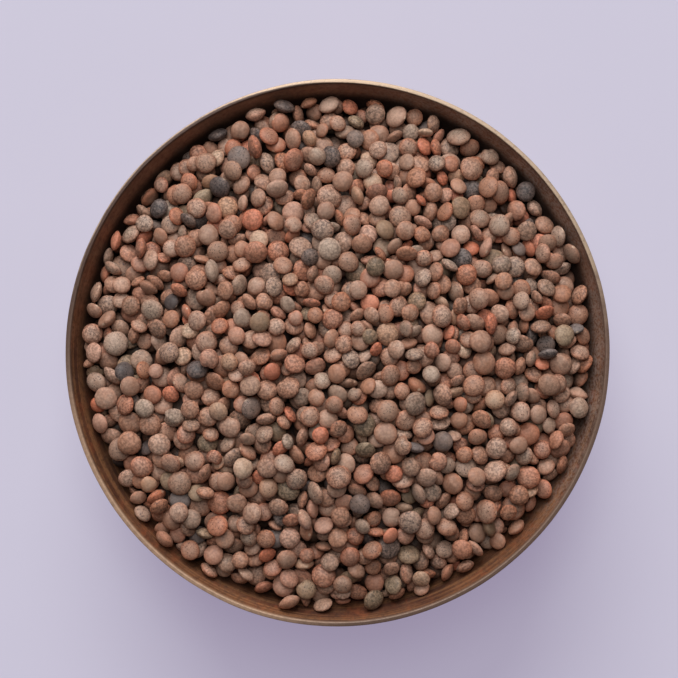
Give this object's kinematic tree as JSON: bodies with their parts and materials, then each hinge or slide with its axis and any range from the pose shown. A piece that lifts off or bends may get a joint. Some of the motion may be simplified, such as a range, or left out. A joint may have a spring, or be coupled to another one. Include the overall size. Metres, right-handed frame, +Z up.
{
  "type": "bowl of dry lentils",
  "caption": "Small turned metal bowl with a flat base and thin rounded lip, filled with dry whole lentils heaped above the lip in a low dome.",
  "frame": {"origin": "middle of the flat face that the bowl rests on", "axes": "+Z up through the middle of the bowl, +X to the right and +Y away from the viewer who looks down with the picture's top edge at the far side"},
  "size_m": [0.1234, 0.1242, 0.0507],
  "materials": {
    "aged_brass": "old brass with a brown patina, fine turning lines and a paler worn lip",
    "lentil": "matte seed coat, brown with some tan, olive, orange and dark seeds"
  },
  "bodies": {
    "root": {"bowl": "aged_brass", "lentils": "lentil"}
  },
  "joints": []
}
